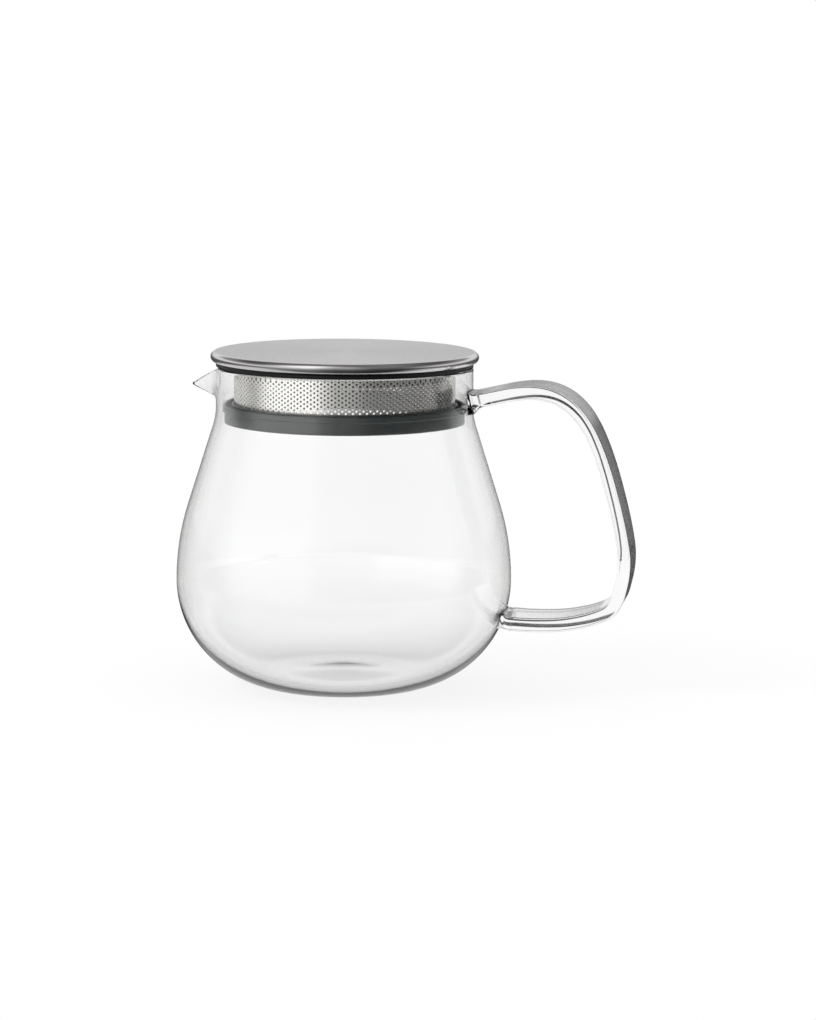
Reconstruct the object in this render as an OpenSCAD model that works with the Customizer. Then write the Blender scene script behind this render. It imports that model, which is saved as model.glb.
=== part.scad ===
// Glass teapot with a flat steel lid that carries a perforated strainer ring.
// Upright along +Z. The origin is the middle of the foot, on the table. The handle is
// on +X and the pouring lip on -X.

/* [Vessel] */
// Largest outside diameter of the belly
belly_d = 105; // [98:0.5:130]
// Height of the widest point above the table
belly_h = 34; // [30:0.5:38]
// Diameter of the flat of the foot
foot_d = 37; // [30:1:50]
// Fullness of the shoulder: at 1 its curve runs straight into the hollow under the neck
shoulder_fullness = 0.788; // [0.6:0.01:0.95]
// Height of the upright neck under the rim
neck_h = 12.1; // [11:0.1:16]
// Radius of the hollow between shoulder and neck
neck_fillet_r = 22; // [10:1:26]
// Height of the glass rim above the table
rim_h = 100.8; // [96:0.1:112]
// Thickness of the glass wall
wall_t = 1.8; // [1.4:0.1:2.4]
// Thickness of the glass in the middle of the floor
floor_t = 2.8; // [1.8:0.1:4]
// Rounding of the two edges of the rim
rim_round = 0.6; // [0.2:0.05:0.65]

/* [Pouring lip] */
// How far the tip of the lip stands out from the neck
lip_reach = 7.8; // [5:0.1:12]
// Half of the width of the lip where it leaves the rim
lip_half_w = 13.6; // [10:0.1:16]
// Fall of the lip's edge from the rim to the tip
lip_drop = 6.6; // [4:0.1:9]
// Height of the lip's hollow under the rim, where it leaves the neck
lip_depth = 12.2; // [10:0.1:15]
// Rise of the underside towards the tip, for each millimetre outwards
lip_under_slope = 0.49; // [0.2:0.01:0.7]
// Thickness of the glass at the lip
lip_t = 1.2; // [0.8:0.1:1.6]

/* [Handle] */
// Distance from the axis to the outside of the handle
handle_reach = 90.8; // [80:0.1:105]
// Height of the handle's top weld, below the rim
handle_drop = 9.7; // [8:0.1:14]
// Height of the handle's bottom weld above the table
handle_foot_h = 22.9; // [18:0.1:26]
// Thickness of the band along the top
band_top_t = 3.8; // [3:0.1:5]
// Thickness of the band in the upper bend, where it is drawn out
band_bend_t = 3.3; // [3:0.1:5]
// Thickness of the band down the back
band_back_t = 3.7; // [3:0.1:5]
// Thickness of the band in the lower bend
band_corner_t = 4.3; // [3:0.1:5]
// Thickness of the band along the bottom
band_foot_t = 3.7; // [3:0.1:5]
// Width of the band
band_w = 20; // [15:0.1:24]
// Rounding of the band's four edges
band_round = 1.2; // [0.6:0.1:1.4]
// Extra height of the fused bead under the top weld
bead_h = 1.8; // [0:0.1:2.5]

/* [Lid] */
// How far the steel shell stands out beyond the neck, all round
lid_overhang = 1.7; // [0.8:0.1:4]
// Height of the steel shell
shell_h = 3.2; // [2.6:0.1:5]
// Thickness of the steel sheet
sheet_t = 0.6; // [0.4:0.05:0.8]
// Height of the black band between the shell and the glass rim
band_h = 1.4; // [0.8:0.1:3]
// Thickness of the core's ceiling
core_t = 1.6; // [1:0.1:1.8]
// Depth of the core's collar below the glass rim
collar_h = 3.4; // [2:0.1:5]
// Thickness of the collar
collar_t = 1.4; // [0.8:0.1:2]

/* [Strainer] */
// Outside diameter of the perforated sleeve. The neck, the lid and the seal follow it
strainer_d = 69; // [60:0.1:78]
// Thickness of the strainer's sheet
strainer_t = 0.4; // [0.3:0.05:0.6]
// Height of the sleeve
strainer_h = 15.4; // [13:0.1:20]
// Diameter of one hole
hole_d = 0.7; // [0.4:0.05:0.9]
// Holes in one row, all round
hole_columns = 102; // [40:2:102]
// Rows of holes, each set half a step from the next
hole_rows = 16; // [4:1:16]
// Distance from row to row
row_pitch = 0.684; // [0.6:0.01:0.9]
// Plain edge above the top row's centres
plain_edge = 0.7; // [0.5:0.05:1.5]

/* [Seal] */
// Height of the seal ring
seal_h = 6; // [5:0.1:8]
// Depth of the groove that grips the sleeve
groove_h = 3.9; // [2:0.1:4.5]
// Clearance between the seal's lip and the glass
seal_gap = 0.3; // [0.2:0.05:0.6]
// How far the seal's body stays inside its lip
lip_step = 0.6; // [0.3:0.05:1]
// Height of the seal's lip
seal_lip_h = 2; // [1:0.1:3]
// Thickness of the seal's lip
seal_lip_t = 0.9; // [0.6:0.05:1.2]
// Thickness of the seal inside the sleeve
seal_inner_t = 0.9; // [0.6:0.05:1.5]

/* [Fits] */
// Clearance between parts of the lid that are pressed together
press_gap = 0.1; // [0.05:0.05:0.2]
// Clearance between the sleeve and the seal's groove
groove_gap = 0.15; // [0.1:0.05:0.3]
// Space all round between the sleeve and the inside of the neck, which the seal fills
neck_gap = 3.8; // [3:0.1:6]

/* [Hidden] */
$fn = 96;
small = 0.01;

// Vessel: the shoulder's curve and the neck's hollow meet along one straight tangent
belly_r = belly_d / 2;
neck_d = strainer_d + 2 * (neck_gap + wall_t);
neck_r = neck_d / 2;
foot_curve_r = belly_r - foot_d / 2;
neck_low_h = rim_h - neck_h;
shoulder_rise = neck_low_h - belly_h;
shoulder_run = belly_r - neck_r;
fullest_r = (pow(shoulder_rise, 2) + pow(shoulder_run, 2)) / (2 * shoulder_run);
curves_r = shoulder_fullness * fullest_r;
shoulder_r = curves_r - neck_fillet_r;
centres = [curves_r - shoulder_run, shoulder_rise];
shoulder_lean = atan2(centres.y, centres.x) - acos(curves_r / norm(centres));
curve_steps = 14;
bend_steps = 6;

// Points of an arc or ellipse in the half-section, from angle a0 to angle a1
function arc(c, rx, ry, a0, a1, n) =
    [for (i = [0:n]) let (a = a0 + (a1 - a0) * i / n) c + [rx * cos(a), ry * sin(a)]];

// Wall line of the vessel, set in from the outside by t and up from the table by f
function wall_line(t, f) = concat(
    arc([foot_d / 2, belly_h], foot_curve_r - t, belly_h - f, -90, 0, curve_steps),
    arc([belly_r - shoulder_r, belly_h], shoulder_r - t, shoulder_r - t,
        shoulder_lean / bend_steps, shoulder_lean, bend_steps - 1),
    arc([neck_r + neck_fillet_r, neck_low_h], neck_fillet_r + t, neck_fillet_r + t,
        180 + shoulder_lean, 180, bend_steps));

module outer_form() {
    rotate_extrude()
        polygon(concat(
            [[0, 0]],
            wall_line(0, 0),
            arc([neck_r - rim_round, rim_h - rim_round], rim_round, rim_round, 0, 90, 4),
            [[0, rim_h]]));
}

module inner_form() {
    rotate_extrude()
        polygon(concat(
            [[0, floor_t]],
            wall_line(wall_t, floor_t),
            arc([neck_r - wall_t + rim_round, rim_h - rim_round], rim_round, rim_round,
                180, 90, 4),
            [[neck_r - wall_t + rim_round, rim_h + 1], [0, rim_h + 1]]));
}

// Pouring lip, worked out towards +X and turned round to -X
lip_root_x = sqrt(neck_r * neck_r - lip_half_w * lip_half_w);
lip_tip_x = neck_r + lip_reach;
lip_edge_angle = atan(lip_drop / (lip_tip_x - lip_root_x));
lip_tip_low = rim_h - lip_drop - lip_t / 2;
lip_round_share = 0.15;
lip_over = 0.6;
lip_stations = 14;
lip_sides = 16;
root_fillet_l = 0.7;

// Place of a station along the lip: 0 at the root, 1 at the tip of a form set in by t
function lip_place(x, t) = (x - lip_root_x) / (lip_tip_x - t - lip_root_x);

// Half width: a V in plan whose point is rounded by the square root
function lip_width(x, t) = let (s = min(lip_place(x, t), 1))
    (lip_half_w - t) * ((1 - lip_round_share) * (1 - s) + lip_round_share * sqrt(1 - s))
    + 0.1;

// Height of the cut edge above station x
function lip_edge(x) = rim_h - (x - lip_root_x) * tan(lip_edge_angle);

// Underside: straight up to the tip, with a hollow curve where it leaves the neck
function lip_under(x) = let (
        line = lip_tip_low - (lip_tip_x - max(x, neck_r)) * lip_under_slope,
        root_gap = lip_tip_low - lip_reach * lip_under_slope - (rim_h - lip_depth))
    line - root_gap * exp(-max(x - neck_r, 0) / root_fillet_l);

// Section of the lip's trough: upright sides over half an ellipse
function lip_section(x, t, top) = let (
        w = lip_width(x, t),
        low = lip_under(x) + t,
        spring = max(min(lip_edge(x) + lip_over, rim_h - t - 0.3), low + 0.2),
        high = max(top, spring + small))
    concat(
        [[x, w, high]],
        [for (i = [0:lip_sides]) let (a = 180 * i / lip_sides)
            [x, w * cos(a), spring - (spring - low) * sin(a)]],
        [[x, -w, high]]);

// Closed solid through a row of sections with the same number of points
module loft(sections) {
    n = len(sections[0]);
    last = len(sections) - 1;
    polyhedron(
        points = [for (s = sections) each s],
        faces = concat(
            [[for (j = [0:n - 1]) n - 1 - j]],
            [for (i = [0:last - 1]) for (j = [0:n - 1])
                let (a = i * n + j, b = i * n + (j + 1) % n) each
                    [[a, b, b + n], [a, b + n, a + n]]],
            [[for (j = [0:n - 1]) last * n + j]]));
}

module lip_form(t, from_x, top) {
    to_x = lip_tip_x - t;
    rotate([0, 0, 180])
        loft([for (i = [0:lip_stations])
            let (k = i / lip_stations)
            lip_section(from_x + (to_x - from_x) * (1 - pow(1 - k, 1.6)), t, top)]);
}

module lip_cut() {
    rotate([0, 0, 180])
        translate([lip_root_x, -neck_r, rim_h])
            rotate([0, lip_edge_angle, 0])
                cube([neck_d, neck_d, neck_r]);
}

module glass_body() {
    color([0.9, 0.94, 0.94, 0.5])
        difference() {
            union() {
                outer_form();
                lip_form(0, lip_root_x - wall_t, 0);
            }
            inner_form();
            lip_form(lip_t, lip_root_x - 3 * wall_t, rim_h + 1);
            lip_cut();
        }
}

// Handle: a wide flat band swept along a smooth curve from the neck round to the belly
weld_h = rim_h - handle_drop;
back_x = handle_reach - band_back_t / 2;
belly_at_foot = foot_d / 2
    + foot_curve_r * sqrt(1 - pow((belly_h - handle_foot_h) / belly_h, 2));
top_span = back_x - neck_r;
foot_span = back_x - belly_at_foot;
drop_span = weld_h - handle_foot_h;
// The ends start behind the round wall, which trims them to its own shape
band_bite = neck_r - sqrt(pow(neck_r, 2) - pow(band_w / 2 + 1, 2)) + 0.6;
span_steps = 3;
end_steps = 6;
corner_steps = 3;

// A point on the upper half is set from the top weld, and one on the lower half from
// the bottom weld, in shares of the distances to the back and between the welds
function upper(k, m) = [neck_r + k * top_span, weld_h - m * drop_span];
function lower(k, m) = [belly_at_foot + k * foot_span, handle_foot_h + m * drop_span];

band_line = [
    [neck_r - band_bite, weld_h - 0.5],
    upper(0.131, -0.022),
    upper(0.281, -0.0455),
    upper(0.411, -0.0535),
    upper(0.522, -0.0415),
    upper(0.618, -0.009),
    upper(0.701, 0.044),
    upper(0.769, 0.115),
    upper(0.826, 0.202),
    upper(0.875, 0.299),
    upper(0.917, 0.401),
    upper(0.954, 0.503),
    upper(0.983, 0.6),
    lower(1, 0.312),
    lower(0.994, 0.235),
    lower(0.969, 0.167),
    lower(0.938, 0.112),
    lower(0.882, 0.072),
    lower(0.784, 0.0455),
    lower(0.645, 0.0215),
    lower(0.461, 0.004),
    lower(0.228, -0.001),
    [belly_at_foot - 2 * band_bite, handle_foot_h]];

// Catmull-Rom curve through the points of the band's line
function band_knot(i) = let (n = len(band_line) - 1)
    i < 0 ? 2 * band_line[0] - band_line[1]
    : i > n ? 2 * band_line[n] - band_line[n - 1]
    : band_line[i];
function spline(i, f) = let (
        a = band_knot(i - 1), b = band_knot(i),
        c = band_knot(i + 1), d = band_knot(i + 2))
    0.5 * (2 * b + (c - a) * f + (2 * a - 5 * b + 4 * c - d) * f * f
        + (3 * b - a - 3 * c + d) * f * f * f);
function band_steps(i) = (i == 0 || i == len(band_line) - 2) ? end_steps : span_steps;

band_places = concat(
    [for (i = [0:len(band_line) - 2]) for (j = [0:band_steps(i) - 1])
        [i, j / band_steps(i)]],
    [[len(band_line) - 2, 1]]);

// Thickness along the band, by the number of the point on its line
function band_t(u) = lookup(u, [[3, band_top_t], [7, band_bend_t], [12, band_back_t],
    [16, band_corner_t], [20, band_foot_t]]);

// The fused bead hangs below the top weld, and a smaller one rings the bottom weld
bead_l = 2;
function bead_top(p) = bead_h * exp(-pow((p.x - neck_r) / bead_l, 2));
function bead_foot(p) = p.y > belly_h ? 0
    : bead_h / 3 * exp(-pow((p.x - belly_at_foot) / bead_l, 2));

// Outline of the band's section: a flat rectangle with rounded corners
function band_corner(u, v, r, a0) =
    [for (i = [0:corner_steps]) let (a = a0 + 90 * i / corner_steps)
        [u + r * cos(a), v + r * sin(a)]];
function band_outline(t_up, t_down, w) = concat(
    band_corner(t_up - band_round, w / 2 - band_round, band_round, 0),
    band_corner(band_round - t_down, w / 2 - band_round, band_round, 90),
    band_corner(band_round - t_down, band_round - w / 2, band_round, 180),
    band_corner(t_up - band_round, band_round - w / 2, band_round, 270));

function band_ring(place) = let (
        p = spline(place[0], place[1]),
        e = 0.01,
        q = spline(place[0], place[1] + e) - spline(place[0], place[1] - e),
        dir = q / norm(q),
        side = [-dir.y, dir.x],
        t = band_t(place[0] + place[1]) / 2,
        top = p.y > belly_h ? bead_top(p) : 0,
        foot = bead_foot(p))
    [for (s = band_outline(t + foot, t + top + foot, band_w + (top + foot) / 2))
        [p.x + side.x * s.x, s.y, p.y + side.y * s.x]];

module handle() {
    color([0.9, 0.94, 0.94, 0.6])
        difference() {
            loft([for (place = band_places) band_ring(place)]);
            outer_form();
        }
}

// Lid
lid_r = neck_r + lid_overhang;
shell_low = rim_h + band_h;
shell_top = shell_low + shell_h;
edge_r = shell_h / 2;
edge_x = lid_r - edge_r;
curl_w = 0.8;

module lid_shell() {
    color("silver")
        rotate_extrude()
            polygon(concat(
                [[0, shell_top]],
                arc([edge_x, shell_low + edge_r], edge_r, edge_r, 90, -90, 2 * curve_steps),
                [[edge_x - curl_w, shell_low],
                    [edge_x - curl_w, shell_low + sheet_t]],
                arc([edge_x, shell_low + edge_r], edge_r - sheet_t, edge_r - sheet_t,
                    -90, 90, curve_steps),
                [[0, shell_top - sheet_t]]));
}

strainer_r = strainer_d / 2;
collar_out = strainer_r - strainer_t - press_gap;
plug_top = shell_top - sheet_t - press_gap;
plug_low = shell_low + sheet_t + press_gap;
ceiling_h = plug_top - core_t;

module lid_core() {
    color([0.07, 0.07, 0.08])
        rotate_extrude()
            polygon([
                [0, plug_top],
                [edge_x - press_gap, plug_top],
                [edge_x - press_gap, plug_low],
                [edge_x - curl_w - press_gap, plug_low],
                [edge_x - curl_w - press_gap, shell_low],
                [neck_r, shell_low],
                [neck_r, rim_h],
                [collar_out, rim_h],
                [collar_out, rim_h - collar_h],
                [collar_out - collar_t, rim_h - collar_h],
                [collar_out - collar_t, ceiling_h],
                [0, ceiling_h]]);
}

// Strainer: one flat of the sleeve for each half step, so each hole has a flat of its own
sleeve_low = rim_h - strainer_h;
seal_low = sleeve_low - (seal_h - groove_h);
seal_top = seal_low + seal_h;
flats = 2 * hole_columns;
top_row_h = rim_h - plain_edge;
rows_that_fit = 1 + floor((top_row_h - hole_d / 2 - seal_top) / row_pitch);
rows = min(hole_rows, rows_that_fit);

module hole(row, column) {
    rotate([0, 0, (column + (row % 2) / 2) * 360 / hole_columns])
        translate([strainer_r - strainer_t / 2, 0, top_row_h - row * row_pitch])
            rotate([0, 90, 0])
                cylinder(d = hole_d, h = 3 * strainer_t, center = true, $fn = 16);
}

// Outline with one flat for each half step; r is the distance to the middle of a flat
module sleeve_outline(r) {
    polygon([for (i = [0:flats - 1]) let (a = (i + 0.5) * 360 / flats)
        r / cos(180 / flats) * [cos(a), sin(a)]]);
}

module strainer() {
    color([0.62, 0.64, 0.62])
        difference() {
            translate([0, 0, sleeve_low])
                linear_extrude(strainer_h)
                    difference() {
                        sleeve_outline(strainer_r);
                        sleeve_outline(strainer_r - strainer_t);
                    }
            for (row = [0:rows - 1]) for (column = [0:hole_columns - 1])
                hole(row, column);
        }
}

// Seal
seal_lip_r = neck_r - wall_t - seal_gap;
seal_body_r = seal_lip_r - lip_step;
groove_out = strainer_r + groove_gap;
groove_in = strainer_r - strainer_t - groove_gap;
grip_t = 0.9;
grip_drop = 0.7;
seal_corner = 1.2;
channel_h = 1.4;

module seal_ring() {
    color([0.25, 0.27, 0.26])
        rotate_extrude()
            polygon(concat(
                [[groove_in - seal_inner_t, seal_low]],
                arc([seal_body_r - seal_corner, seal_low + seal_corner],
                    seal_corner, seal_corner, -90, 0, 5),
                [[seal_body_r, seal_top - seal_lip_h],
                    [seal_lip_r, seal_top - seal_lip_h + lip_step],
                    [seal_lip_r, seal_top - 0.2],
                    [seal_lip_r - 0.2, seal_top],
                    [seal_lip_r - seal_lip_t, seal_top],
                    [seal_lip_r - seal_lip_t - 0.3, seal_top - channel_h],
                    [groove_out + grip_t, seal_top - channel_h],
                    [groove_out + grip_t, seal_top - grip_drop],
                    [groove_out, seal_top - grip_drop],
                    [groove_out, sleeve_low],
                    [groove_in, sleeve_low],
                    [groove_in, seal_top - grip_drop],
                    [groove_in - seal_inner_t, seal_top - grip_drop]]));
}

glass_body();
handle();
lid_shell();
lid_core();
strainer();
seal_ring();
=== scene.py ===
"""Glass teapot with a steel lid and a perforated strainer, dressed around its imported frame.

Lengths are in millimetres and angles in degrees, where nothing else is said.
"""

import logging
import math
from collections.abc import Sequence
from dataclasses import dataclass
from enum import Enum

import bpy
import numpy as np
from mathutils import Matrix, Vector


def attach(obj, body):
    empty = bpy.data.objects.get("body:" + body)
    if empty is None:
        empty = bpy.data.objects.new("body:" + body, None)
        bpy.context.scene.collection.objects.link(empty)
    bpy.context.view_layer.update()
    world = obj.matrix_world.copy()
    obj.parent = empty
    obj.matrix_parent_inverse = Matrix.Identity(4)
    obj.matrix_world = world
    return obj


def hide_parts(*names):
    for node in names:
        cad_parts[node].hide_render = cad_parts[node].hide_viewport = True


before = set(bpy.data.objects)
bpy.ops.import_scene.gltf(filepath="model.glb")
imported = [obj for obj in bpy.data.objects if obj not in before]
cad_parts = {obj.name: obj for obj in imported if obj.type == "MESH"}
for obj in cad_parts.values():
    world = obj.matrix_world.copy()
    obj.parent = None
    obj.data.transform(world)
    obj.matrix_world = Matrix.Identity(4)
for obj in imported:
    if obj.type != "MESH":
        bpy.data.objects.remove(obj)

log = logging.getLogger("teapot")
MM = 0.001
TINY = 1e-9
POLE = 1e-7


class Body(Enum):
    """The rigid bodies that pieces ride on."""

    VESSEL = "vessel"
    LID = "lid"
    SEAL = "seal"


# ---------------------------------------------------------------- surfaces


def smooth(x: np.ndarray) -> np.ndarray:
    """Eases from 0 to 1: three squares less two cubes of x, held inside 0 to 1."""
    c = np.clip(x, 0.0, 1.0)
    return c * c * (3.0 - 2.0 * c)


def arc(centre: Sequence[float], rx: float, ry: float, start: float, end: float,
        steps: int) -> np.ndarray:
    """Points of an ellipse's arc: the centre plus rx times the cosine and ry times the sine.

    Args:
        centre: middle of the ellipse, as radius and height.
        rx: half width.
        ry: half height.
        start: first angle in degrees.
        end: last angle in degrees.
        steps: number of spans.

    Returns:
        An array of steps + 1 rows of radius and height.
    """
    a = np.radians(np.linspace(start, end, steps + 1))
    return np.stack([centre[0] + rx * np.cos(a), centre[1] + ry * np.sin(a)], 1)


def rounded(corners: Sequence[tuple[float, float, float]], steps: int = 6,
            hold: float = 0.12) -> np.ndarray:
    """A closed outline whose corners are rounded by arcs that touch both of their sides.

    The arc's centre lies on the corner's bisector, at the radius over the sine of half the
    corner's angle. A point set back from each arc's end keeps the flat beside it flat.

    Args:
        corners: radius, height and rounding of each corner, in order.
        steps: spans in each arc.
        hold: share of the rounding at which the flat is held.

    Returns:
        The outline's points as rows of radius and height.
    """
    points = np.array([c[:2] for c in corners], float)
    out = []
    for i, (here, r) in enumerate(zip(points, (c[2] for c in corners))):
        before = points[i - 1] - here
        after = points[(i + 1) % len(points)] - here
        a, b = before / np.linalg.norm(before), after / np.linalg.norm(after)
        if r <= 0.0:
            out.append(here[None])
            continue
        half = math.acos(float(np.clip(a @ b, -1.0, 1.0))) / 2.0
        reach = r / math.tan(half)
        centre = here + (a + b) / np.linalg.norm(a + b) * r / math.sin(half)
        p, q = here + a * reach - centre, here + b * reach - centre
        t = np.linspace(0.0, 1.0, steps + 1)[:, None]
        turn = math.pi - 2.0 * half
        swept = (np.sin((1.0 - t) * turn) * p + np.sin(t * turn) * q) / math.sin(turn)
        out += [(here + a * (reach + hold * r))[None], centre + swept,
                (here + b * (reach + hold * r))[None]]
    return np.concatenate(out)


@dataclass
class Patch:
    """A grid of points in millimetres, as rows by columns by three."""

    points: np.ndarray
    ring: bool = True  # the last column meets the first
    tube: bool = False  # the last row meets the first

    def faces(self) -> tuple[np.ndarray, np.ndarray]:
        """Quads between neighbours, with triangles where a row has shrunk to a pole.

        Returns:
            The quads and the triangles, as rows of point numbers.
        """
        rows, columns = self.points.shape[:2]
        index = np.arange(rows * columns).reshape(rows, columns)
        pole = np.ptp(self.points, axis=1).max(axis=1) < POLE
        index[pole] = index[pole][:, :1]
        if self.ring:
            index = np.concatenate([index, index[:, :1]], 1)
        if self.tube:
            index = np.concatenate([index, index[:1]], 0)
        quads = np.stack([index[:-1, :-1], index[:-1, 1:], index[1:, 1:], index[1:, :-1]], -1)
        quads = quads.reshape(-1, 4)
        first = quads[:, 0] == quads[:, 1]
        last = quads[:, 2] == quads[:, 3]
        tris = np.concatenate([quads[first & ~last][:, [0, 2, 3]],
                               quads[last & ~first][:, [0, 1, 2]]])
        return quads[~first & ~last], tris


def turned(outline: np.ndarray, columns: int) -> np.ndarray:
    """A half-section carried round the axis: radius times cosine and sine, height kept.

    Args:
        outline: rows of radius and height.
        columns: number of points round the axis.

    Returns:
        A grid of points, with a row for each point of the outline.
    """
    a = np.linspace(0.0, 2.0 * np.pi, columns, endpoint=False)
    r, z = outline[:, :1], outline[:, 1:]
    return np.stack([r * np.cos(a), r * np.sin(a), z + 0.0 * a], -1)


def make_mesh(name: str, points: np.ndarray, quads: np.ndarray,
              tris: np.ndarray) -> bpy.types.Object:
    """Puts points and faces into a new smooth-shaded object, with its faces outward.

    Args:
        name: the object's name.
        points: rows of x, y and z in millimetres.
        quads: four point numbers in a row.
        tris: three point numbers in a row.

    Returns:
        The object, at the origin, in metres.
    """
    used, packed = np.unique(np.concatenate([quads.ravel(), tris.ravel()]),
                             return_inverse=True)
    points = points[used] * MM
    quads, tris = packed[:quads.size].reshape(-1, 4), packed[quads.size:].reshape(-1, 3)
    cut = np.concatenate([quads[:, [0, 1, 2]], quads[:, [0, 2, 3]], tris])
    a, b, c = points[cut[:, 0]], points[cut[:, 1]], points[cut[:, 2]]
    if np.einsum("ij,ij->i", a, np.cross(b, c)).sum() < 0.0:
        quads, tris = quads[:, ::-1], tris[:, ::-1]
    loops = np.concatenate([quads.ravel(), tris.ravel()]).astype(np.int32)
    starts = np.concatenate([np.arange(len(quads)) * 4,
                             quads.size + np.arange(len(tris)) * 3]).astype(np.int32)
    mesh = bpy.data.meshes.new(name)
    mesh.vertices.add(len(points))
    mesh.vertices.foreach_set("co", points.astype(np.float32).ravel())
    mesh.loops.add(len(loops))
    mesh.loops.foreach_set("vertex_index", loops)
    mesh.polygons.add(len(starts))
    mesh.polygons.foreach_set("loop_start", starts)
    mesh.update(calc_edges=True)
    mesh.validate()
    mesh.shade_smooth()
    piece = bpy.data.objects.new(name, mesh)
    bpy.context.scene.collection.objects.link(piece)
    return piece


def patch_object(name: str, patch: Patch) -> bpy.types.Object:
    """Makes an object of one patch."""
    return make_mesh(name, patch.points.reshape(-1, 3), *patch.faces())


def dress(piece: bpy.types.Object, finish: "Finish", body: Body, *nodes: str) -> None:
    """Gives a piece its finish, the body it rides on and the nodes it stands for.

    Args:
        piece: the finished object.
        finish: what its surface is made of.
        body: the body that carries it.
        nodes: the plain solids that it replaces.
    """
    piece.data.materials.append(finish.material())
    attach(piece, body.value)
    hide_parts(*nodes)
    log.info("%s: %d faces", piece.name, len(piece.data.polygons))


# ---------------------------------------------------------------- finishes


Colour = tuple[float, float, float]
Stops = tuple[tuple[float, Colour], ...]
Levels = tuple[tuple[float, float], ...]
WHITE = (1.0, 1.0, 1.0)


class Tree:
    """A material's or the world's node tree, wired in short calls."""

    def __init__(self, owner: bpy.types.ID) -> None:
        """Starts an empty tree.

        Args:
            owner: the material or the world that has it.
        """
        owner.use_nodes = True
        self.nodes, self.links = owner.node_tree.nodes, owner.node_tree.links
        self.nodes.clear()

    def add(self, kind: str, **sockets: object) -> bpy.types.Node:
        """Adds a node. Names in capitals are inputs, and lower-case ones are settings.

        Args:
            kind: the node's type, without its ShaderNode prefix.
            sockets: input names, with _ for a blank, or settings, with their values.

        Returns:
            The node.
        """
        node = self.nodes.new("ShaderNode" + kind)
        for key, value in sockets.items():
            if key[0].islower():
                setattr(node, key, value)
            elif isinstance(value, bpy.types.NodeSocket):
                self.links.new(value, node.inputs[key.replace("_", " ")])
            else:
                node.inputs[key.replace("_", " ")].default_value = value
        return node

    def calc(self, operation: str, *values: object) -> bpy.types.NodeSocket:
        """A Math node's result.

        Args:
            operation: what it works out, by the node's own name.
            values: its inputs in order, as sockets or numbers.

        Returns:
            The result's socket.
        """
        node = self.add("Math", operation=operation)
        for socket, value in zip(node.inputs, values):
            if isinstance(value, bpy.types.NodeSocket):
                self.links.new(value, socket)
            else:
                socket.default_value = value
        return node.outputs[0]

    def ramp(self, source: bpy.types.NodeSocket,
             stops: Sequence[tuple[float, Sequence[float]]]) -> bpy.types.NodeSocket:
        """A colour ramp's result, eased from stop to stop.

        Args:
            source: the place to read, from 0 to 1.
            stops: the ramp's places and their colours.

        Returns:
            The colour's socket.
        """
        node = self.add("ValToRGB", Fac=source)
        node.color_ramp.interpolation = "EASE"
        elements = node.color_ramp.elements
        while len(elements) < len(stops):
            elements.new(1.0)
        for element, (place, colour) in zip(elements, stops):
            element.position = place
            element.color = (*colour, 1.0)
        return node.outputs["Color"]

    def levels(self, source: bpy.types.NodeSocket, stops: Levels) -> bpy.types.NodeSocket:
        """A grey ramp's result. Each stop is a place and a level."""
        return self.ramp(source, [(place, grey(level)) for place, level in stops])

    def swing(self, source: bpy.types.NodeSocket, middle: float,
              spread: float) -> bpy.types.NodeSocket:
        """Half a spread below the middle where the source is 0, and half above it at 1."""
        return self.calc("MULTIPLY_ADD", source, spread, middle - spread / 2.0)

    def mix(self, share: bpy.types.NodeSocket, first: bpy.types.Node,
            second: bpy.types.Node) -> bpy.types.Node:
        """A mix of two shaders.

        Args:
            share: how much there is of the second.
            first: the shader at 0.
            second: the shader at 1.

        Returns:
            The node that mixes them.
        """
        node = self.add("MixShader")
        for socket, source in zip(node.inputs, (share, first.outputs[0], second.outputs[0])):
            self.links.new(source, socket)
        return node

    def blend(self, share: bpy.types.NodeSocket, first: object,
              second: object) -> bpy.types.NodeSocket:
        """A mix of two colours, each a socket or three numbers.

        Args:
            share: how much there is of the second.
            first: the colour at 0.
            second: the colour at 1.

        Returns:
            The mixed colour's socket.
        """
        node = self.add("Mix", data_type="RGBA")
        self.links.new(share, node.inputs[0])
        for socket, value in zip((node.inputs[6], node.inputs[7]), (first, second)):
            if isinstance(value, bpy.types.NodeSocket):
                self.links.new(value, socket)
            else:
                socket.default_value = (*value, 1.0)
        return node.outputs[2]

    def radius(self) -> bpy.types.NodeSocket:
        """Distance from the upright axis: the length of the Object coordinates' x and y.

        Returns:
            The distance's socket, in metres.
        """
        place = self.add("TexCoord").outputs["Object"]
        flat = self.add("VectorMath", operation="MULTIPLY")
        self.links.new(place, flat.inputs[0])
        flat.inputs[1].default_value = (1.0, 1.0, 0.0)
        length = self.add("VectorMath", operation="LENGTH")
        self.links.new(flat.outputs[0], length.inputs[0])
        return length.outputs["Value"]

    def bounced(self, paths: bpy.types.Node) -> bpy.types.NodeSocket:
        """One where a path was reflected or scattered on its way, and zero where it wasn't."""
        return self.calc("MINIMUM", self.calc("ADD", paths.outputs["Glossy Depth"],
                                            paths.outputs["Diffuse Depth"]), 1.0)

    def finish(self, shader: bpy.types.Node, kind: str = "OutputMaterial") -> None:
        """Wires the shader to the output of the material, or of the world."""
        out = self.add(kind)
        self.links.new(shader.outputs[0], out.inputs["Surface"])


def grey(value: float) -> Colour:
    """A neutral colour."""
    return (value, value, value)


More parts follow.
